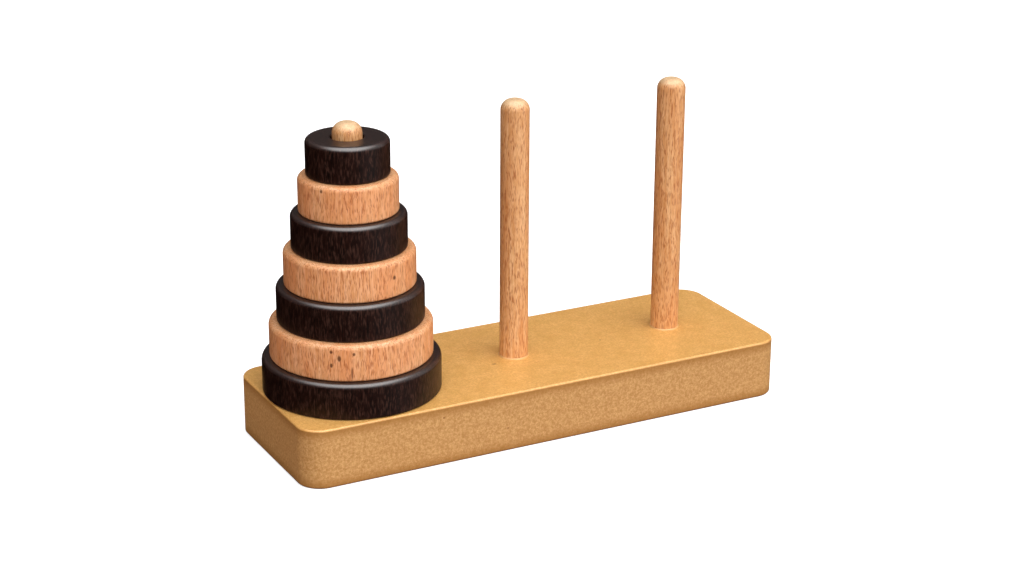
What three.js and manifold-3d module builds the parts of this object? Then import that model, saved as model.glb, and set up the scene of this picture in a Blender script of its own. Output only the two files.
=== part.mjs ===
// A tower of hanoi puzzle: a fibreboard base that holds three beech pegs in blind sockets, and a
// stack of turned wooden discs, threaded on the left-hand peg with the largest at the bottom.
// Millimetres, +Z up. The origin is the centre of the base's underside, +X runs along the row of
// pegs, away from the stack, and the front of the base faces -Y.
import * as THREE from "three";
import { mergeVertices } from "three/addons/utils/BufferGeometryUtils.js";
import Module from "manifold-3d";

const wasm = await Module();
wasm.setup();

// Discs
const DISC_COUNT = 7;
const SMALLEST_DISC = 33.5; // diameter
const LARGEST_DISC = 72.5; // diameter
const DISC_SPACING = 15; // from one disc in the stack up to the next
const DISC_TOP_ROUNDING = 2.2;
const DISC_FOOT_ROUNDING = 1;
const BORE_CLEARANCE = 0.75; // between a peg and the wall of a disc's bore
const BORE_MOUTH_CHAMFER = 0.5;
const STACKING_GAP = 0.02; // keeps a disc a separate solid from what it rests on

// Pegs
const PEG_DIAMETER = 12;
const PEG_PROUD = 6; // how far a peg stands above a full stack
const PEG_TOP_ROUNDING = 4.5;
const PEG_FOOT_CHAMFER = 1;

// Base
const BASE_THICKNESS = 25;
const BASE_SIDE_MARGIN = 0.75; // the base in front of and behind the largest disc
const BASE_END_OVERHANG = 0.25; // the largest disc past the end of the base
const BASE_CORNER_RADIUS = 10;
const BASE_EDGE_ROUNDING = 1;
const SOCKET_FLOOR = 9; // the board left under a socket
const SOCKET_CLEARANCE = 0.1; // the film of glue round a peg
const SOCKET_GLUE_ROOM = 1; // under a peg's foot
const NEIGHBOUR_GAP = 1.5; // between the largest disc and one like it on the next peg

// What follows from them
const PEG_PITCH = LARGEST_DISC + NEIGHBOUR_GAP;
const BASE_LENGTH = 2 * PEG_PITCH + LARGEST_DISC - 2 * BASE_END_OVERHANG;
const BASE_WIDTH = LARGEST_DISC + 2 * BASE_SIDE_MARGIN;
const DISC_THICKNESS = DISC_SPACING - STACKING_GAP;
const STACK_HEIGHT = DISC_COUNT * DISC_SPACING;
const PEG_RADIUS = PEG_DIAMETER / 2;
const PEG_TOP = BASE_THICKNESS + STACK_HEIGHT + PEG_PROUD;
const PEG_FOOT = SOCKET_FLOOR + SOCKET_GLUE_ROOM;
const SOCKET_RADIUS = PEG_RADIUS + SOCKET_CLEARANCE;
const BORE_RADIUS = PEG_RADIUS + BORE_CLEARANCE;
const DISC_STEP = (LARGEST_DISC - SMALLEST_DISC) / (DISC_COUNT - 1);

// How finely round shapes are faceted
const DISC_SEGMENTS = 48;
const PEG_SEGMENTS = 24;
const CORNER_SEGMENTS = 8;
const ROUNDING_SEGMENTS = 4;

const beech = new THREE.MeshStandardMaterial({ color: 0xd69a68, roughness: 0.5, metalness: 0 });
const darkStain = new THREE.MeshStandardMaterial({ color: 0x2a1814, roughness: 0.35, metalness: 0 });
const fibreboard = new THREE.MeshStandardMaterial({ color: 0xd6a060, roughness: 0.6, metalness: 0 });

// A quarter round in a lathe profile (radius, height), about a centre, from one angle to another.
function arc(centreRadius, centreHeight, rounding, fromDegrees, toDegrees) {
  return Array.from({ length: ROUNDING_SEGMENTS + 1 }, (_, i) => {
    const turn = THREE.MathUtils.degToRad(
      fromDegrees + ((toDegrees - fromDegrees) * i) / ROUNDING_SEGMENTS,
    );
    return new THREE.Vector2(
      centreRadius + rounding * Math.cos(turn),
      centreHeight + rounding * Math.sin(turn),
    );
  });
}

// A profile turned about the Z axis, closed where it meets itself or the axis.
function turned(profile, segments) {
  return new THREE.LatheGeometry(profile, segments).rotateX(Math.PI / 2);
}

// A three.js geometry as a manifold-3d solid.
function solid(geometry) {
  const bare = geometry.clone();
  bare.deleteAttribute("normal");
  bare.deleteAttribute("uv");
  const merged = mergeVertices(bare, 1e-3);
  return new wasm.Manifold(
    new wasm.Mesh({
      numProp: 3,
      vertProperties: merged.attributes.position.array,
      triVerts: new Uint32Array(merged.index.array),
    }),
  );
}

// A manifold-3d solid as a three.js geometry.
function geometryOf(manifold) {
  const mesh = manifold.getMesh();
  const geometry = new THREE.BufferGeometry();
  geometry.setAttribute("position", new THREE.BufferAttribute(mesh.vertProperties, 3));
  geometry.setIndex(new THREE.BufferAttribute(mesh.triVerts, 1));
  geometry.computeVertexNormals();
  return geometry;
}

// A rectangle with round corners, drawn about the origin.
function roundedRectangle(length, width, corner) {
  const x = length / 2 - corner;
  const y = width / 2 - corner;
  const outline = new THREE.Shape();
  outline.absarc(x, y, corner, 0, Math.PI / 2);
  outline.absarc(-x, y, corner, Math.PI / 2, Math.PI);
  outline.absarc(-x, -y, corner, Math.PI, 1.5 * Math.PI);
  outline.absarc(x, -y, corner, 1.5 * Math.PI, 2 * Math.PI);
  return outline;
}

// The base: one fibreboard block with eased edges and a blind socket under each peg.
function baseGeometry(pegPlaces) {
  const outline = roundedRectangle(BASE_LENGTH, BASE_WIDTH, BASE_CORNER_RADIUS);
  const block = new THREE.ExtrudeGeometry(outline, {
    depth: BASE_THICKNESS - 2 * BASE_EDGE_ROUNDING,
    curveSegments: CORNER_SEGMENTS,
    bevelThickness: BASE_EDGE_ROUNDING,
    bevelSize: BASE_EDGE_ROUNDING,
    bevelOffset: -BASE_EDGE_ROUNDING,
    bevelSegments: 3,
  }).translate(0, 0, BASE_EDGE_ROUNDING);
  const cutHeight = BASE_THICKNESS; // runs out through the top face
  let board = solid(block);
  for (const x of pegPlaces) {
    const cutter = new THREE.CylinderGeometry(SOCKET_RADIUS, SOCKET_RADIUS, cutHeight, PEG_SEGMENTS)
      .rotateX(Math.PI / 2)
      .translate(x, 0, SOCKET_FLOOR + cutHeight / 2);
    board = board.subtract(solid(cutter));
  }
  return geometryOf(board);
}

// A peg: a dowel with a chamfered foot and a rounded top, standing on its foot at z = 0.
function pegGeometry() {
  const length = PEG_TOP - PEG_FOOT;
  const rounding = Math.min(PEG_TOP_ROUNDING, PEG_RADIUS);
  return turned(
    [
      new THREE.Vector2(0, 0),
      new THREE.Vector2(PEG_RADIUS - PEG_FOOT_CHAMFER, 0),
      new THREE.Vector2(PEG_RADIUS, PEG_FOOT_CHAMFER),
      ...arc(PEG_RADIUS - rounding, length - rounding, rounding, 0, 90),
      new THREE.Vector2(0, length),
    ],
    PEG_SEGMENTS,
  );
}

// A disc: bored through, with round edges and chamfered bore mouths, standing on z = 0.
function discGeometry(diameter) {
  const radius = diameter / 2;
  const foot = Math.min(DISC_FOOT_ROUNDING, DISC_THICKNESS / 2);
  const shoulder = Math.min(DISC_TOP_ROUNDING, DISC_THICKNESS / 2);
  return turned(
    [
      new THREE.Vector2(BORE_RADIUS, BORE_MOUTH_CHAMFER),
      new THREE.Vector2(BORE_RADIUS + BORE_MOUTH_CHAMFER, 0),
      ...arc(radius - foot, foot, foot, -90, 0),
      ...arc(radius - shoulder, DISC_THICKNESS - shoulder, shoulder, 0, 90),
      new THREE.Vector2(BORE_RADIUS + BORE_MOUTH_CHAMFER, DISC_THICKNESS),
      new THREE.Vector2(BORE_RADIUS, DISC_THICKNESS - BORE_MOUTH_CHAMFER),
      new THREE.Vector2(BORE_RADIUS, BORE_MOUTH_CHAMFER),
    ],
    DISC_SEGMENTS,
  );
}

const pegs = { peg_left: -PEG_PITCH, peg_centre: 0, peg_right: PEG_PITCH };
const puzzle = new THREE.Group();

const base = new THREE.Mesh(baseGeometry(Object.values(pegs)), fibreboard);
base.name = "base";
puzzle.add(base);

for (const [name, x] of Object.entries(pegs)) {
  const peg = new THREE.Mesh(pegGeometry(), beech);
  peg.name = name;
  peg.position.set(x, 0, PEG_FOOT);
  puzzle.add(peg);
}

// Disc 1 is the smallest and lies on top. The odd discs are stained dark, the even ones are plain.
const stack = new THREE.Group();
stack.position.set(pegs.peg_left, 0, BASE_THICKNESS);
puzzle.add(stack);
for (let number = DISC_COUNT; number >= 1; number--) {
  const diameter = SMALLEST_DISC + (number - 1) * DISC_STEP;
  const disc = new THREE.Mesh(discGeometry(diameter), number % 2 ? darkStain : beech);
  disc.name = `disc_${number}`;
  disc.position.z = (DISC_COUNT - number) * DISC_SPACING + STACKING_GAP;
  stack.add(disc);
}

export default puzzle;
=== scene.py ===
# %% [markdown]
# # A tower of hanoi puzzle
#
# A fibreboard block holds three beech pegs. Seven bored discs are threaded on the left-hand peg,
# the largest at the bottom, stained dark and left plain by turns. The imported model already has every
# piece at its real size, so each piece here is made again at the same size and place, with the
# fine rounding, the grain and the lacquer that the real one has.

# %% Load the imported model
import math

import bmesh
import bpy
from mathutils import Matrix, Vector


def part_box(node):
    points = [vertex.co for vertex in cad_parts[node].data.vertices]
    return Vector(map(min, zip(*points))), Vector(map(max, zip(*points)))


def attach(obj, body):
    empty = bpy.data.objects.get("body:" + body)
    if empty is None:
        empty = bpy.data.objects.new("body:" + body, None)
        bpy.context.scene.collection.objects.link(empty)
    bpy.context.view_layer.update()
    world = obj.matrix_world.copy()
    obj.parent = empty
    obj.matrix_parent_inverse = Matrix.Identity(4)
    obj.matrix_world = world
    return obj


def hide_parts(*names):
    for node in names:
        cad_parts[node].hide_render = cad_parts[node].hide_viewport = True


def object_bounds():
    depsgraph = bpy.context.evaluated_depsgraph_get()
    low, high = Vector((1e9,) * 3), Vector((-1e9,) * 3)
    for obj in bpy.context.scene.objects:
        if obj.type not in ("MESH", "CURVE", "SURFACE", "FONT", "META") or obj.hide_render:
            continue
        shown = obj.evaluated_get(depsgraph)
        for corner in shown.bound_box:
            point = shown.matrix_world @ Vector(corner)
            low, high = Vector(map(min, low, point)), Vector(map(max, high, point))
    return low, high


MM = 0.001  # everything is in metres, and sizes read best in millimetres

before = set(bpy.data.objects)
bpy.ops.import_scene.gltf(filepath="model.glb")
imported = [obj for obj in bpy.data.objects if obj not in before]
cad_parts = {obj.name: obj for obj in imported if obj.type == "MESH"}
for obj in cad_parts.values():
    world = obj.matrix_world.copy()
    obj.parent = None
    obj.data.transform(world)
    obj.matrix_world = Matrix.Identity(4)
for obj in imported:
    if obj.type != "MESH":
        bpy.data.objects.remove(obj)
cad_low, cad_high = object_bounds()
print("size in mm", [round(side / MM, 2) for side in cad_high - cad_low])

# %% [markdown]
# ## The camera
#
# The puzzle is seen from a little to its left and from above, through a long lens, so its edges
# hardly converge. A camera can be placed by a location and three angles, but a turntable is easier
# to adjust: an angle round the object, an angle up, a distance, and a point to look at.

# %% Camera
CAMERA_AZIMUTH = math.radians(-27.94)  # 0 looks along +Y
CAMERA_ELEVATION = math.radians(20.21)
CAMERA_ROLL = math.radians(0.33)
CAMERA_DISTANCE = 914.5 * MM
CAMERA_LENS = 77.7  # millimetres, on a sensor 36 mm wide
AIM_BELOW_CENTRE = 12.1 * MM  # both are across the view, from the middle of the puzzle's box
AIM_LEFT_OF_CENTRE = 0.8 * MM


def view_axes(azimuth, elevation, roll=0):
    """The directions to the right, the top and the back of what looks at the puzzle from there."""
    back = Vector(
        (
            math.sin(azimuth) * math.cos(elevation),
            -math.cos(azimuth) * math.cos(elevation),
            math.sin(elevation),
        )
    )
    level_right = Vector((math.cos(azimuth), math.sin(azimuth), 0))
    turn = Matrix.Rotation(roll, 3, back)
    right = turn @ level_right
    return right, back.cross(right), back


def put_up(equipment, position, axes):
    """Puts a camera or a lamp in the scene, with its right, top and back along these axes."""
    bpy.context.scene.collection.objects.link(equipment)
    equipment.matrix_world = Matrix.Translation(position) @ Matrix(axes).transposed().to_4x4()


def add_camera():
    axes = view_axes(CAMERA_AZIMUTH, CAMERA_ELEVATION, CAMERA_ROLL)
    right, up, back = axes
    aim = (cad_low + cad_high) / 2 - up * AIM_BELOW_CENTRE - right * AIM_LEFT_OF_CENTRE
    data = bpy.data.cameras.new("camera")
    data.lens = CAMERA_LENS
    camera = bpy.data.objects.new("camera", data)
    put_up(camera, aim + back * CAMERA_DISTANCE, axes)
    bpy.context.scene.camera = camera
    return camera


camera = add_camera()
print("camera at", [round(value, 3) for value in camera.matrix_world.translation])

# %% [markdown]
# ## Helpers for modelling with operators
#
# Blender's operators act on whatever is selected. Each helper below therefore starts by selecting
# exactly what it means to change: nothing at all before a primitive is added, and then edges or
# faces picked by where they are.

# %% Selecting
def deselect_all():
    if bpy.context.object and bpy.context.object.mode != "OBJECT":
        bpy.ops.object.mode_set(mode="OBJECT")
    bpy.ops.object.select_all(action="DESELECT")


def select_only(piece):
    deselect_all()
    piece.select_set(True)
    bpy.context.view_layer.objects.active = piece


def start_editing(piece, kind):
    """Edit mode on one piece, with nothing selected. kind is VERT, EDGE or FACE."""
    select_only(piece)
    bpy.ops.object.mode_set(mode="EDIT")
    bpy.ops.mesh.select_mode(type=kind)
    bpy.ops.mesh.select_all(action="DESELECT")


def select_where(piece, part, test):
    """Selects the edges or faces that pass the test. part is "edges" or "faces"."""
    mesh = bmesh.from_edit_mesh(piece.data)
    for item in getattr(mesh, part):
        item.select_set(test(item))
    mesh.select_flush_mode()
    bmesh.update_edit_mesh(piece.data)


def edge_ends(edge):
    return [vertex.co for vertex in edge.verts]


# %% Finishing a piece
ROUND_SHAPE_ANGLE = math.radians(35)  # edges sharper than this stay crisp in the shading


def add_modifier(piece, kind, **settings):
    """Adds a modifier with these settings and applies it."""
    select_only(piece)
    modifier = piece.modifiers.new(kind.lower(), kind)
    for name, value in settings.items():
        setattr(modifier, name, value)
    bpy.ops.object.modifier_apply(modifier=modifier.name)


def place_in_mesh(piece):
    """Moves the object's place, turn and scale into its mesh."""
    select_only(piece)
    bpy.ops.object.transform_apply(location=True, rotation=True, scale=True)


def smooth(piece):
    """Round shapes shade round, and the flat faces beside them stay flat."""
    select_only(piece)
    bpy.ops.object.shade_smooth_by_angle(angle=ROUND_SHAPE_ANGLE)
    add_modifier(piece, "WEIGHTED_NORMAL", keep_sharp=True, weight=100)


def hand_over(piece, node, material, body="stand"):
    """The piece wears a finish, rides on a body, and stands for a CAD node if there is one."""
    piece.data.materials.clear()
    piece.data.materials.append(material)
    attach(piece, body)
    if node:
        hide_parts(node)
    print(piece.name, "has", len(piece.data.polygons), "faces")


# %% [markdown]
# ## Finishes
#
# The patterns here are worked out from a point's place on its piece, in millimetres, so the grain
# runs right through a piece as it does in real wood: dashes on a side come out as dots on a face.
# An image wrapped round each piece could show the same wood, but its seams would show too.

# %% Building node trees
def add_node(tree, kind, inputs=None, **settings):
    """Adds a node. settings are its own options, inputs are the values of its sockets."""
    node = tree.nodes.new(kind)
    for name, value in settings.items():
        setattr(node, name, value)
    for name, value in (inputs or {}).items():
        if isinstance(value, bpy.types.NodeSocket):
            tree.links.new(value, node.inputs[name])
        else:
            node.inputs[name].default_value = value
    return node


def calculate(tree, operation, first, second=0.0, third=0.0):
    """A Math node. A number or another node's output goes into each socket."""
    values = {0: first, 1: second, 2: third}
    return add_node(tree, "ShaderNodeMath", values, operation=operation).outputs[0]


def calculate_vector(tree, operation, *values):
    """A Vector Math node, whose outputs are a vector and, for a length or a product, a number."""
    return add_node(tree, "ShaderNodeVectorMath", dict(enumerate(values)), operation=operation)


def part_of(tree, mask, share):
    """The mask, weakened to this share of itself."""
    return calculate(tree, "MULTIPLY", mask, share)


def fade(tree, value, start, end, low=0.0, high=1.0):
    """Low where value is at start, high where it is at end, and smooth between them."""
    inputs = {"Value": value, "From Min": start, "From Max": end, "To Min": low, "To Max": high}
    return add_node(tree, "ShaderNodeMapRange", inputs, interpolation_type="SMOOTHSTEP").outputs[0]


# %% Colours and patterns
def colour(text):
    """An sRGB colour written as six hexadecimal digits, as the linear colour that Blender uses."""
    channels = [int(text[i : i + 2], 16) / 255 for i in (0, 2, 4)]
    linear = [c / 12.92 if c <= 0.04045 else ((c + 0.055) / 1.055) ** 2.4 for c in channels]
    return (*linear, 1)


def blend_colours(tree, amount, first, second):
    """The first colour where amount is 0, the second where it is 1."""
    factor_and_colours = {0: amount, 6: first, 7: second}
    return add_node(tree, "ShaderNodeMix", factor_and_colours, data_type="RGBA").outputs[2]


def tint(tree, body, mask, share, text):
    """The body colour, taken this share of the way to another one where the mask is 1."""
    return blend_colours(tree, part_of(tree, mask, share), body, colour(text))


def stretch(tree, vector, scale, offset=(0, 0, 0)):
    """The vector, scaled along each axis. A small number draws the pattern out that way."""
    inputs = {"Vector": vector, "Scale": scale, "Location": offset}
    return add_node(tree, "ShaderNodeMapping", inputs).outputs[0]


def height_in(tree, vector):
    """The part of a vector that points up."""
    return add_node(tree, "ShaderNodeSeparateXYZ", {0: vector}).outputs[2]


def noise(tree, vector, scale, detail, roughness=0.6, wanted="Fac"):
    inputs = {"Vector": vector, "Scale": scale, "Detail": detail, "Roughness": roughness}
    return add_node(tree, "ShaderNodeTexNoise", inputs).outputs[wanted]


def new_group(name, inputs, outputs):
    """A shader node group. inputs and outputs give each socket's name and type."""
    tree = bpy.data.node_groups.new(name, "ShaderNodeTree")
    for direction, sockets in (("INPUT", inputs), ("OUTPUT", outputs)):
        for socket, kind in sockets.items():
            tree.interface.new_socket(socket, in_out=direction, socket_type="NodeSocket" + kind)
    return tree, tree.nodes.new("NodeGroupInput"), tree.nodes.new("NodeGroupOutput")


# %% [markdown]
# ### Grain
#
# Beech has an even, pale body, faint streaks along the grain, and thousands of short dark flecks,
# which are its rays cut across. An image could give that, but it would stop at a seam. Noise drawn
# out along the grain gives the streaks, and the flecks are small cells drawn out the same way,
# of which only some are filled. The pegs, the plain discs and the stained discs all use it.

# %% Grain group
# Waves to the millimetre of each pattern, across the grain and along it. The grain runs upwards.
WANDER = (0.35, 0.12)
BROAD_STREAKS = (1.1, 0.05)
NARROW_STREAKS = (3.2, 0.14)
FIGURE = (0.16, 0.02)
FAINT_FLECKS = (2.1, 0.26)
STRONG_FLECKS = (1.5, 0.26)
WANDER_REACH = (1.6, 1.6, 0.0)  # how far the grain strays from straight, in millimetres


def along_grain(tree, place, waves):
    across, along = waves
    return stretch(tree, place, (across, across, along))


def add_flecks(tree, place, share):
    """Faint dashes out of noise, and strong ones out of long cells, of which a share is filled."""
    dashes = noise(tree, along_grain(tree, place, FAINT_FLECKS), 1, 2, roughness=0.5)
    faint = fade(tree, dashes, 0.5, 0.68, 0.0, 0.75)
    inputs = {"Vector": along_grain(tree, place, STRONG_FLECKS), "Scale": 1, "Randomness": 1}
    cells = add_node(tree, "ShaderNodeTexVoronoi", inputs)
    inside = fade(tree, cells.outputs["Distance"], 0.5, 0.1)
    drawn = add_node(tree, "ShaderNodeSeparateColor", {0: cells.outputs["Color"]})
    filled = calculate(tree, "LESS_THAN", drawn.outputs[0], share)
    depth = fade(tree, drawn.outputs[1], 0.0, 1.0, 0.2, 0.9)
    strong = calculate(tree, "MULTIPLY", calculate(tree, "MULTIPLY", inside, filled), depth)
    return calculate(tree, "MAXIMUM", strong, faint)


def make_grain_group():
    tree, ins, outs = new_group(
        "wood grain",
        {"Place": "Vector", "Fleck Share": "Float"},
        {"Streaks": "Float", "Flecks": "Float", "Figure": "Float"},
    )
    straight = ins.outputs["Place"]
    wander = noise(tree, along_grain(tree, straight, WANDER), 1, 2, wanted="Color")
    place = calculate_vector(tree, "MULTIPLY_ADD", wander, WANDER_REACH, straight).outputs[0]
    broad = noise(tree, along_grain(tree, place, BROAD_STREAKS), 1, 3)
    narrow = noise(tree, along_grain(tree, place, NARROW_STREAKS), 1, 2)
    streaks = calculate(tree, "MULTIPLY_ADD", narrow, 0.45, part_of(tree, broad, 0.55))
    figure = noise(tree, along_grain(tree, place, FIGURE), 1, 2)
    flecks = add_flecks(tree, place, ins.outputs["Fleck Share"])
    tree.links.new(fade(tree, streaks, 0.36, 0.64), outs.inputs["Streaks"])
    tree.links.new(flecks, outs.inputs["Flecks"])
    tree.links.new(fade(tree, figure, 0.3, 0.7), outs.inputs["Figure"])
    return tree


grain_group = make_grain_group()
print("grain group has", len(grain_group.nodes), "nodes")

# %% [markdown]
# ### Spots
#
# A few pin knots and bits of bark sit at places of their own. Each is a small egg in space, which
# reaches its size from its middle along each axis: the mask is 1 in its heart and fades out at its
# skin. An image would do for one face, but an egg marks whatever surface passes through it.

# %% Spot group
SPOT_HEART = 0.6  # shares of a spot's size: it is solid up to the first
SPOT_SKIN = 1.5  # and gone at the second


def make_spot_group():
    tree, ins, outs = new_group(
        "spot",
        {"Place": "Vector", "Centre": "Vector", "Size": "Vector"},
        {"Mask": "Float"},
    )
    away = calculate_vector(tree, "SUBTRACT", ins.outputs["Place"], ins.outputs["Centre"]).outputs[0]
    ratio = calculate_vector(tree, "DIVIDE", away, ins.outputs["Size"]).outputs[0]
    length = calculate_vector(tree, "LENGTH", ratio).outputs["Value"]
    tree.links.new(fade(tree, length, SPOT_SKIN, SPOT_HEART), outs.inputs["Mask"])
    return tree


spot_group = make_spot_group()
print("spot group has", len(spot_group.nodes), "nodes")


def spots(tree, place, eggs):
    """One mask for several spots, each given as (centre, size) in millimetres."""
    total = None
    for centre, size in eggs:
        inputs = {"Place": place, "Centre": centre, "Size": size}
        mask = add_node(tree, "ShaderNodeGroup", inputs, node_tree=spot_group).outputs["Mask"]
        total = mask if total is None else calculate(tree, "MAXIMUM", total, mask)
    return total


# %% [markdown]
# ### Starting a finish
#
# Every finish reads the piece's own coordinates, turned into millimetres, and ends in one Principled
# shader. What is the same all over a piece is set on the shader itself, and only what changes over
# the surface comes from nodes.

# %% Starting a finish
def start_finish(name, **values):
    """A new material. values are the shader's, by socket, with _ for each space in its name."""
    material = bpy.data.materials.new(name)
    material.use_nodes = True
    tree = material.node_tree
    shader = tree.nodes["Principled BSDF"]
    for socket, value in values.items():
        shader.inputs[socket.replace("_", " ")].default_value = value
    here = tree.nodes.new("ShaderNodeTexCoord").outputs["Object"]
    place = stretch(tree, here, (1 / MM, 1 / MM, 1 / MM))
    return material, tree, shader, place


def add_bump(tree, shader, height, distance):
    """height is 0 to 1, and distance is how far apart 0 and 1 stand, in millimetres."""
    bump = add_node(tree, "ShaderNodeBump", {"Height": height, "Distance": distance * MM})
    tree.links.new(bump.outputs[0], shader.inputs["Normal"])


def grain(tree, place, share):
    inputs = {"Place": place, "Fleck Share": share}
    node = add_node(tree, "ShaderNodeGroup", inputs, node_tree=grain_group)
    return node.outputs["Streaks"], node.outputs["Flecks"], node.outputs["Figure"]


# %% [markdown]
# ### Plain beech
#
# The pegs are cut from dowel, which is a little yellower than the wood of the discs, so there are two
# beeches with one recipe. The knots are few enough to list one by one, as a turner would find them:
# which disc, how far round from the front, how high above its foot, how wide and how tall. The
# rounded tip of a peg is end grain, paler than the side in a ragged patch: partly the sanded wood
# and partly a painted highlight of the light overhead.

# %% Beech
KNOTS = (  # disc, degrees round, then height, half width and half length in millimetres
    ("disc_6", -37.5, 12.4, 0.5, 0.6),
    ("disc_6", -32, 9.8, 0.65, 1.1),
    ("disc_6", -22, 11.6, 0.5, 0.6),
    ("disc_6", -37.5, 6.8, 0.5, 0.8),
    ("disc_6", -23.5, 3.6, 0.25, 2.4),
    ("disc_4", 17, 8.3, 0.65, 0.75),
    ("disc_2", -55, 13, 0.5, 0.65),
)
TIP_RAGGEDNESS = 4.0  # millimetres: noise raises each height by up to this before it is judged
TIP_STARTS_BELOW = 1.4  # a raised height this far under the peg's top starts to turn pale
TIP_FULL_ABOVE = 1.6  # and one this far over it is as pale as the tip gets
DISC_WOOD = ("f3c195", "d99a64", "de8f58")  # pale and middling streaks, and the deeper figure
DOWEL_WOOD = ("efc593", "d49a62", "d08d54")
FLECK_BROWN = "9a491c"
KNOT_BROWN = "4a2410"
# the pale of the sanded tip, partly a painted highlight
SANDED_PALE_AND_HIGHLIGHT = "e8d2ac"
FLECK_DEPTH = 0.05  # millimetres


def knot_spots():
    eggs = []
    for node, degrees_round, height, half_width, half_length in KNOTS:
        low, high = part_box(node)
        centre = (low + high) / 2
        radius = (high.x - low.x) / 2
        turn = math.radians(degrees_round)
        x = centre.x + radius * math.sin(turn)
        y = centre.y - radius * math.cos(turn)
        eggs.append(((x / MM, y / MM, low.z / MM + height), (half_width, half_width, half_length)))
    return eggs


def make_beech(name, wood, add_marks):
    """add_marks(tree, place, body) adds what this piece alone has to the body colour."""
    pale, middling, deep = wood
    material, tree, shader, place = start_finish(name)
    streaks, flecks, figure = grain(tree, place, 0.75)
    body = blend_colours(tree, streaks, colour(pale), colour(middling))
    body = tint(tree, body, figure, 0.55, deep)
    body = tint(tree, body, flecks, 0.85, FLECK_BROWN)
    body = add_marks(tree, place, body)
    tree.links.new(body, shader.inputs["Base Color"])
    tree.links.new(fade(tree, streaks, 0.0, 1.0, 0.3, 0.42), shader.inputs["Roughness"])
    add_bump(tree, shader, part_of(tree, flecks, -1.0), FLECK_DEPTH)
    return material


def mark_knots(tree, place, body):
    return tint(tree, body, spots(tree, place, knot_spots()), 0.85, KNOT_BROWN)


def mark_tip(tree, place, body):
    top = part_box("peg_left")[1].z / MM
    wander = noise(tree, place, 0.7, 3)
    raised = calculate(tree, "MULTIPLY_ADD", wander, TIP_RAGGEDNESS, height_in(tree, place))
    tip = fade(tree, raised, top - TIP_STARTS_BELOW, top + TIP_FULL_ABOVE)
    # partly sanded paleness and partly a painted highlight on the dome
    return tint(tree, body, tip, 0.45, SANDED_PALE_AND_HIGHLIGHT)


disc_beech = make_beech("beech of the discs", DISC_WOOD, mark_knots)
peg_beech = make_beech("beech of the pegs", DOWEL_WOOD, mark_tip)
print("two beeches, and", len(KNOTS), "knots")

# %% [markdown]
# ### Dark-stained beech
#
# The same wood, with the same grain, under a stain that all but hides it. The lacquer is a coat of
# its own over the stained wood. On the wall it has sunk in and shines little, and on the rounded rim
# it lies thick, which gives the grey gleam there. The flat face is end grain, which drinks both stain
# and lacquer, so it is darker than the wall and duller than the rim. Three materials could say that,
# but which way the surface faces tells wall, rim and face apart within one.

# %% Dark stain
RIM_STARTS, RIM_FULL = 0.15, 0.5  # how far up the surface faces: 0 is the wall, 1 is the flat face
FACE_STARTS, FACE_FULL = 0.86, 0.98
WALL_LACQUER = 0.15  # shares of a full coat
LACQUER_DRUNK_BY_FACE = 0.3
STAIN_LIGHTEST, STAIN_DARKEST = "230f0b", "030101"
STAINED_FIGURE = "160604"
STAINED_FLECKS = "543a32"
STAINED_END_GRAIN = "050202"
RIPPLE_WAVES = (1.4, 1.4, 0.5)  # to the millimetre
RIPPLE_DEPTH = 0.06  # millimetres


def make_dark_stain():
    material, tree, shader, place = start_finish(
        "dark stain", Roughness=0.45, Specular_IOR_Level=0.15, Coat_IOR=1.6, Coat_Roughness=0.28
    )
    facing_up = height_in(tree, tree.nodes.new("ShaderNodeTexCoord").outputs["Normal"])
    end_grain = fade(tree, facing_up, FACE_STARTS, FACE_FULL)
    streaks, flecks, figure = grain(tree, place, 0.6)
    body = blend_colours(tree, streaks, colour(STAIN_LIGHTEST), colour(STAIN_DARKEST))
    body = tint(tree, body, figure, 0.5, STAINED_FIGURE)
    body = tint(tree, body, flecks, 0.6, STAINED_FLECKS)
    body = tint(tree, body, end_grain, 0.5, STAINED_END_GRAIN)
    tree.links.new(body, shader.inputs["Base Color"])
    lacquer = fade(tree, facing_up, RIM_STARTS, RIM_FULL, WALL_LACQUER, 1.0)
    not_drunk = calculate(tree, "SUBTRACT", 1.0, part_of(tree, end_grain, LACQUER_DRUNK_BY_FACE))
    tree.links.new(calculate(tree, "MULTIPLY", lacquer, not_drunk), shader.inputs["Coat Weight"])
    ripple = noise(tree, stretch(tree, place, RIPPLE_WAVES), 1, 2)
    height = calculate(tree, "SUBTRACT", part_of(tree, ripple, 0.5), part_of(tree, flecks, 0.6))
    add_bump(tree, shader, height, RIPPLE_DEPTH)
    return material


dark_stain = make_dark_stain()
print(dark_stain.name, "has", len(dark_stain.node_tree.nodes), "nodes")

# %% [markdown]
# ### Fibreboard
#
# Fibreboard is pressed hardest at its two faces. They are smooth and take the lacquer evenly, while
# the sawn sides show the softer fibres between them, browner just inside each face, with a painted
# shade darkest along the foot. Height alone tells them apart, so one material covers the block.
# Its mottle, chips, fibres and dust are four noises, from coarse to fine, and a few bits of bark are
# spots.

# %% Fibreboard
base_low, base_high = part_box("base")
board_top = base_high.z / MM
BARK_ON_TOP = (  # how far along and across from the middle, and half the width, in millimetres
    (-12.4, -6.0, 0.8),
    (40.5, -2.5, 0.35),
)
BARK_ON_FRONT = (  # how far along, how high, and half the width
    (-22.0, 10.1, 0.4),
    (-50.8, 20.3, 0.45),
)
BARK_BROWN = "7a431c"
TOP_STARTS_BELOW, TOP_FULL_BELOW = 1.0, 0.3  # millimetres under the top face
SOFT_HALF, PRESSED_HALF = 7, 12  # millimetres from the middle of the board's thickness
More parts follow.
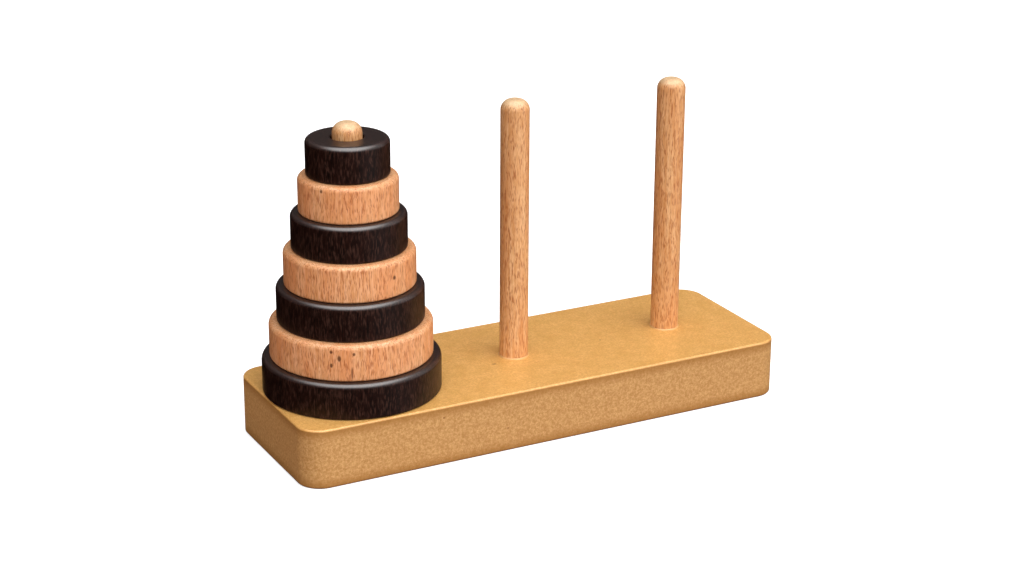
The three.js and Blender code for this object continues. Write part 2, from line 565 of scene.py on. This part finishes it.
# the painted shade along the board's foot starts at the first height and is full at the second
FOOT_SHADE_ENDS, FOOT_SHADE_FULL = 1.2, 0.2  # millimetres above the foot
CHIP_WAVES = (0.5, 0.8, 0.7)  # to the millimetre
CHIP_SHIFT = (7, 3, 1)  # shifted, so that chips and dust don't follow the clouds of other noises
DUST_SHIFT = (5, 9, 2)
TOP_PALE, TOP_DEEP = "eab56c", "dfaa60"
TOP_DUST, TOP_CHIPS = "c58b46", "cf8a48"
FIBRE_DEEP, FIBRE_PALE = "b0834b", "d8af75"
SIDE_DUST = "a5763f"
PRESSED_BROWN = "9a6a2c"
# the colour of the painted shade along the board's foot, where it meets the floor
FOOT_SHADE_BROWN = "6b4220"
FIBRE_DEPTH = 0.02  # millimetres


def bark_spots():
    front = base_low.y / MM
    on_top = [((along, across, board_top), (half, 0.5, 0.5)) for along, across, half in BARK_ON_TOP]
    on_front = [((along, front, height), (half, 0.5, 0.35)) for along, height, half in BARK_ON_FRONT]
    return on_top + on_front


def add_top_colour(tree, place, dust):
    mottle = fade(tree, noise(tree, place, 0.16, 5), 0.35, 0.65)
    chips = fade(tree, noise(tree, stretch(tree, place, CHIP_WAVES, CHIP_SHIFT), 1, 2), 0.58, 0.7)
    body = blend_colours(tree, mottle, colour(TOP_PALE), colour(TOP_DEEP))
    body = tint(tree, body, dust, 0.6, TOP_DUST)
    return tint(tree, body, chips, 0.45, TOP_CHIPS)


def add_side_colour(tree, fibres, dust, height):
    from_middle = calculate(tree, "ABSOLUTE", calculate(tree, "SUBTRACT", height, board_top / 2))
    pressed = fade(tree, from_middle, SOFT_HALF, PRESSED_HALF)
    # painted shade, darkest where the sides meet the floor
    foot_shade = fade(tree, height, FOOT_SHADE_ENDS, FOOT_SHADE_FULL)
    body = blend_colours(tree, fibres, colour(FIBRE_DEEP), colour(FIBRE_PALE))
    body = tint(tree, body, dust, 0.35, SIDE_DUST)
    body = tint(tree, body, pressed, 0.75, PRESSED_BROWN)
    return tint(tree, body, foot_shade, 0.6, FOOT_SHADE_BROWN)


def make_fibreboard():
    material, tree, shader, place = start_finish("fibreboard")
    height = height_in(tree, place)
    is_top = fade(tree, height, board_top - TOP_STARTS_BELOW, board_top - TOP_FULL_BELOW)
    fibres = fade(tree, noise(tree, place, 0.9, 5, 0.75), 0.3, 0.7)
    dust = fade(tree, noise(tree, stretch(tree, place, (1, 1, 1), DUST_SHIFT), 1.5, 3), 0.38, 0.62)
    side = add_side_colour(tree, fibres, dust, height)
    body = blend_colours(tree, is_top, side, add_top_colour(tree, place, dust))
    body = tint(tree, body, spots(tree, place, bark_spots()), 0.7, BARK_BROWN)
    tree.links.new(body, shader.inputs["Base Color"])
    tree.links.new(fade(tree, is_top, 0.0, 1.0, 0.6, 0.3), shader.inputs["Roughness"])
    roughened = calculate(tree, "SUBTRACT", 1.0, part_of(tree, is_top, 0.85))
    add_bump(tree, shader, calculate(tree, "MULTIPLY", fibres, roughened), FIBRE_DEPTH)
    return material


fibreboard = make_fibreboard()
print(fibreboard.name, "has", len(fibreboard.node_tree.nodes), "nodes")

# %% [markdown]
# ### Glue
#
# A little glue is squeezed out of each socket when its peg goes in, and dries pale and yellowish.
# Clear glue would need a see-through shader, but a bead this thin only shows its own pale colour.

# %% Glue
GLUE_PALE, GLUE_DEEP = "e0b578", "d29c5c"
GLUE_DEPTH = 0.08  # millimetres


def make_glue():
    material, tree, shader, place = start_finish("dried glue", Roughness=0.3)
    cloud = noise(tree, place, 1.2, 3)
    body = blend_colours(tree, cloud, colour(GLUE_PALE), colour(GLUE_DEEP))
    tree.links.new(body, shader.inputs["Base Color"])
    add_bump(tree, shader, cloud, GLUE_DEPTH)
    return material


dried_glue = make_glue()
print(dried_glue.name, "has", len(dried_glue.node_tree.nodes), "nodes")

# %% [markdown]
# ## The base
#
# The base is a block sawn from thick board. Its four upright corners are rounded well over, all its
# other edges are only broken with sandpaper, and three sockets are bored for the pegs. An outline
# could be drawn and pulled up, but a box bevelled twice follows the maker's own order: the corners
# first and the edges after, which then run round the corners in one sweep. The sockets are cut with
# a Boolean, as by a drill.

# %% Base
CORNER_RADIUS = 10 * MM
CORNER_STEPS = 24
EDGE_ROUNDING = 1 * MM
EDGE_STEPS = 5
SOCKET_CLEARANCE = 0.1 * MM
SOCKET_DEPTH = 16 * MM
PEG_NAMES = ("peg_left", "peg_centre", "peg_right")
PEG_SIDES = 96


def is_upright(edge):
    first, second = edge_ends(edge)
    return abs(first.z - second.z) > base_high.z / 2


def make_base():
    size = base_high - base_low
    deselect_all()
    bpy.ops.mesh.primitive_cube_add(size=1, location=(base_low + base_high) / 2, scale=size)
    base = bpy.context.object
    base.name = "base_board"
    place_in_mesh(base)
    start_editing(base, "EDGE")
    select_where(base, "edges", is_upright)
    bpy.ops.mesh.bevel(offset=CORNER_RADIUS, segments=CORNER_STEPS, affect="EDGES")
    select_where(base, "edges", lambda edge: not is_upright(edge))
    bpy.ops.mesh.bevel(offset=EDGE_ROUNDING, segments=EDGE_STEPS, affect="EDGES")
    bpy.ops.object.mode_set(mode="OBJECT")
    for name in PEG_NAMES:
        cut_socket(base, name)
    smooth(base)
    return base


def cut_socket(base, peg):
    low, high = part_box(peg)
    centre = (low + high) / 2
    deselect_all()
    bpy.ops.mesh.primitive_cylinder_add(
        vertices=PEG_SIDES,
        radius=(high.x - low.x) / 2 + SOCKET_CLEARANCE,
        depth=2 * SOCKET_DEPTH,
        location=(centre.x, centre.y, base_high.z),
    )
    cutter = bpy.context.object
    add_modifier(base, "BOOLEAN", operation="DIFFERENCE", solver="EXACT", object=cutter)
    bpy.data.objects.remove(cutter)


hand_over(make_base(), "base", fibreboard)

# %% [markdown]
# ## The pegs
#
# A peg is a length of dowel with its top rounded over and its foot chamfered, so that it starts
# easily in its socket. A profile could be spun, but a cylinder already has the dowel's shape, and
# only its two rims are left to bevel: the upper one in many steps and the lower one in one.

# %% Rounding a rim
HAIR = 0.01 * MM  # closer than this is the same place
ROUND_PROFILE = 0.5  # a quarter of a circle, where 0.25 is a straight chamfer and less is hollow


def round_rim(piece, centre, radius, height, rounding, steps, profile=ROUND_PROFILE):
    """Bevels the circle of edges at this radius and height."""

    def on_rim(edge):
        return all(
            abs(math.hypot(end.x - centre.x, end.y - centre.y) - radius) < HAIR
            and abs(end.z - height) < HAIR
            for end in edge_ends(edge)
        )

    start_editing(piece, "EDGE")
    select_where(piece, "edges", on_rim)
    bpy.ops.mesh.bevel(offset=rounding, segments=steps, profile=profile, affect="EDGES")
    bpy.ops.object.mode_set(mode="OBJECT")


# %% Pegs
PEG_TOP_ROUNDING = 4.5 * MM
PEG_TOP_STEPS = 12
PEG_FOOT_CHAMFER = 1 * MM


def make_peg(node):
    low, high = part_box(node)
    centre = (low + high) / 2
    radius = (high.x - low.x) / 2
    height = high.z - low.z
    deselect_all()
    bpy.ops.mesh.primitive_cylinder_add(
        vertices=PEG_SIDES, radius=radius, depth=height, location=centre
    )
    peg = bpy.context.object
    peg.name = node + "_dowel"
    place_in_mesh(peg)
    round_rim(peg, centre, radius, high.z, PEG_TOP_ROUNDING, PEG_TOP_STEPS)
    round_rim(peg, centre, radius, low.z, PEG_FOOT_CHAMFER, 1)
    smooth(peg)
    return peg


for node in PEG_NAMES:
    hand_over(make_peg(node), node, peg_beech)

# %% [markdown]
# ## The discs
#
# A disc is turned from a slice of round stock: bored through the middle, its upper rim rounded well
# over and its lower rim just eased. Spinning a profile would give the same ring, but starting from a
# cylinder keeps the steps of the lathe: both faces are inset to the size of the bore and bridged
# into a hole, and then each rim is picked out by its radius and height and bevelled.

# %% Boring
FACES_UP_OR_DOWN = 0.9  # how far up or down a flat end faces at least


def add_bored_cylinder(name, centre, radius, bore, depth, sides):
    deselect_all()
    bpy.ops.mesh.primitive_cylinder_add(vertices=sides, radius=radius, depth=depth, location=centre)
    piece = bpy.context.object
    piece.name = name
    place_in_mesh(piece)
    start_editing(piece, "FACE")
    select_where(piece, "faces", lambda face: abs(face.normal.z) > FACES_UP_OR_DOWN)
    bpy.ops.mesh.inset(thickness=(radius - bore) * math.cos(math.pi / sides))
    bpy.ops.mesh.bridge_edge_loops()
    bpy.ops.object.mode_set(mode="OBJECT")
    return piece


# %% Discs
DISC_TOP_ROUNDING = 2.2 * MM
DISC_TOP_STEPS = 10
DISC_FOOT_ROUNDING = 1 * MM
DISC_FOOT_STEPS = 6
BORE_CLEARANCE = 0.75 * MM
BORE_ROUNDING = 0.5 * MM
BORE_STEPS = 3
DISC_SIDES = 144
peg_low, peg_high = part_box("peg_left")
peg_radius = (peg_high.x - peg_low.x) / 2
bore_radius = peg_radius + BORE_CLEARANCE


def make_disc(node):
    low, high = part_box(node)
    centre = (low + high) / 2
    radius = (high.x - low.x) / 2
    disc = add_bored_cylinder(node + "_wood", centre, radius, bore_radius, high.z - low.z, DISC_SIDES)
    round_rim(disc, centre, radius, high.z, DISC_TOP_ROUNDING, DISC_TOP_STEPS)
    round_rim(disc, centre, radius, low.z, DISC_FOOT_ROUNDING, DISC_FOOT_STEPS)
    round_rim(disc, centre, bore_radius, high.z, BORE_ROUNDING, BORE_STEPS)
    round_rim(disc, centre, bore_radius, low.z, BORE_ROUNDING, BORE_STEPS)
    smooth(disc)
    return disc


disc_nodes = sorted(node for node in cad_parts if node.startswith("disc_"))
for node in disc_nodes:
    stained = int(node.split("_")[1]) % 2 == 1
    hand_over(make_disc(node), node, dark_stain if stained else disc_beech, body=node)

# %% [markdown]
# ## The glue round the pegs
#
# Each bead is a thin ring that hides the gap between a peg and its socket. A torus would look like a
# cord laid round the peg. A bored cylinder with its outer edge bevelled to a plain slope looks like
# glue, which climbs the peg while it is wet and thins out over the board.

# %% Glue beads
BEAD_REACH = 0.5 * MM
BEAD_HEIGHT = 0.45 * MM
BEAD_SLOPE = 0.35 * MM
BEAD_PROFILE = 0.25
BEAD_STEPS = 4


def make_glue_bead(peg):
    low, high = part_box(peg)
    centre = (low + high) / 2
    centre.z = base_high.z + BEAD_HEIGHT / 2
    reach = peg_radius + BEAD_REACH
    rim_height = base_high.z + BEAD_HEIGHT
    bead = add_bored_cylinder(peg + "_glue", centre, reach, peg_radius, BEAD_HEIGHT, PEG_SIDES)
    round_rim(bead, centre, reach, rim_height, BEAD_SLOPE, BEAD_STEPS, profile=BEAD_PROFILE)
    smooth(bead)
    return bead


for peg in PEG_NAMES:
    hand_over(make_glue_bead(peg), None, dried_glue)

# %% [markdown]
# ## The studio
#
# ### The floor
#
# The backdrop of such a picture is burnt out to white by lights of its own, and lighting this floor
# as hard would also flood the puzzle's dark sides. So the floor shows the camera a bright white, and
# throws back a dimmer, warmer light on the puzzle. A mix of two shaders, switched by whether the
# camera is looking, does that.

# %% Floor
FLOOR_SIZE = 12  # metres, so that its edge is never in view
FLOOR_PALE = (0.8, 0.8, 0.8, 1)
FLOOR_GLOW = 0.6
FLOOR_BOUNCE = (0.52, 0.3, 0.19, 1)
WHITE = (1, 1, 1, 1)


def make_floor():
    deselect_all()
    bpy.ops.mesh.primitive_plane_add(size=FLOOR_SIZE, location=(0, 0, 0))
    floor = bpy.context.object
    floor.name = "floor"
    floor.visible_glossy = False
    material = bpy.data.materials.new("floor")
    material.use_nodes = True
    tree = material.node_tree
    seen = tree.nodes["Principled BSDF"]
    seen.inputs["Base Color"].default_value = FLOOR_PALE
    seen.inputs["Roughness"].default_value = 1
    seen.inputs["Specular IOR Level"].default_value = 0
    seen.inputs["Emission Color"].default_value = WHITE
    seen.inputs["Emission Strength"].default_value = FLOOR_GLOW
    bounce = add_node(tree, "ShaderNodeBsdfDiffuse", {"Color": FLOOR_BOUNCE})
    looking = tree.nodes.new("ShaderNodeLightPath").outputs["Is Camera Ray"]
    mix = add_node(tree, "ShaderNodeMixShader", {0: looking, 1: bounce.outputs[0], 2: seen.outputs[0]})
    tree.links.new(mix.outputs[0], tree.nodes["Material Output"].inputs["Surface"])
    floor.data.materials.append(material)
    return floor


print(make_floor().name, "is", FLOOR_SIZE, "m square")

# %% [markdown]
# ### The softboxes
#
# Three soft lamps light the puzzle: one almost overhead, a very broad one low in front, and one as
# low to the right, the only one that the lacquer mirrors. An area lamp lights what is near it more
# than what is far. A sun lamp with a wide angle is a softbox so far off that it lights floor and
# puzzle evenly, and its edge is as soft as its angle is wide.

# %% Softboxes
SOFTBOXES = (  # name, degrees round from the front, degrees up, degrees broad, strength, mirrored
    ("overhead softbox", 0, 76, 70, 2.0, False),
    ("front softbox", -3, 25, 100, 1.95, False),
    ("right softbox", 40, 28, 100, 1.2, True),
)


def add_softbox(name, degrees_round, degrees_up, degrees_broad, strength, mirrored):
    data = bpy.data.lights.new(name, "SUN")
    data.angle = math.radians(degrees_broad)
    data.energy = strength
    light = bpy.data.objects.new(name, data)
    light.visible_glossy = mirrored
    axes = view_axes(math.radians(degrees_round), math.radians(degrees_up))
    put_up(light, axes[2], axes)


for softbox in SOFTBOXES:
    add_softbox(*softbox)
    print(softbox[0], "of strength", softbox[4])

# %% [markdown]
# ### The ceiling
#
# The studio's ceiling glows more the higher you look, which fills the shadows. Almost overhead, a
# little to the front and left, it has a bright patch, which the lacquer mirrors along every rim. A
# mirrored lamp could do the same, but a patch that only mirrored rays see can have the width and
# the soft edge that the gleam needs, without lighting anything.

# %% Ceiling
CEILING_GLOW = 0.2
GLEAM_STRENGTH = 5.5
GLEAM_DEGREES_ROUND = -14  # the middle of the bright patch
GLEAM_DEGREES_UP = 74
GLEAM_EDGE = 0.6  # cosines of the angle from its middle: where the patch starts,
GLEAM_FULL = 0.97  # and where it is at its brightest


def add_gleam(tree, direction):
    middle = view_axes(math.radians(GLEAM_DEGREES_ROUND), math.radians(GLEAM_DEGREES_UP))[2]
    near = calculate_vector(tree, "DOT_PRODUCT", direction, middle).outputs["Value"]
    patch = fade(tree, near, GLEAM_EDGE, GLEAM_FULL, 0.0, GLEAM_STRENGTH)
    mirrored = tree.nodes.new("ShaderNodeLightPath").outputs["Is Glossy Ray"]
    return calculate(tree, "MULTIPLY", mirrored, patch)


def add_ceiling():
    world = bpy.data.worlds.new("ceiling")
    world.use_nodes = True
    tree = world.node_tree
    direction = tree.nodes.new("ShaderNodeTexCoord").outputs["Generated"]
    inputs = {"Value": height_in(tree, direction), "To Max": CEILING_GLOW}
    glow = add_node(tree, "ShaderNodeMapRange", inputs).outputs[0]
    total = calculate(tree, "ADD", glow, add_gleam(tree, direction))
    background = tree.nodes["Background"]
    background.inputs["Color"].default_value = WHITE
    tree.links.new(total, background.inputs["Strength"])
    bpy.context.scene.world = world
    return world


print(add_ceiling().name, "glows", CEILING_GLOW, "overhead")
bpy.context.scene.view_settings.view_transform = "Standard"
